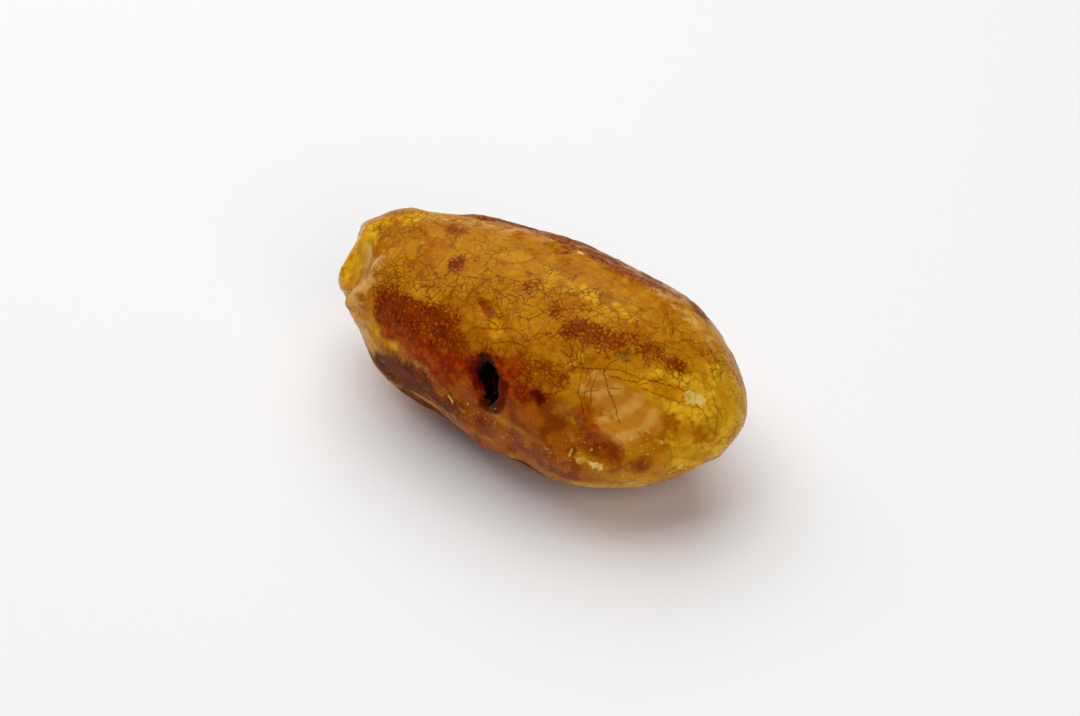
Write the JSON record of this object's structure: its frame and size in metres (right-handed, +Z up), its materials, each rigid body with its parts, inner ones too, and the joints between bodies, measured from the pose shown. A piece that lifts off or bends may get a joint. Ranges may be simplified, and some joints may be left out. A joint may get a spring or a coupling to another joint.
{
  "type": "raw amber nugget",
  "caption": "Raw lump of fossil resin with a crazed golden skin, rusty patches, a dark pit and a broken corner; rests on a small flat spot.",
  "frame": {"origin": "middle of the lump's outline, at the height of the surface that it rests on", "axes": "+Z up, +X along the lump towards its broad end, -Y towards the side with the pit"},
  "size_m": [0.0606, 0.031, 0.0273],
  "materials": {
    "amber": "satin, see-through resin with a crazed natural crust"
  },
  "bodies": {
    "root": {"amber_nugget": "amber"}
  },
  "joints": []
}
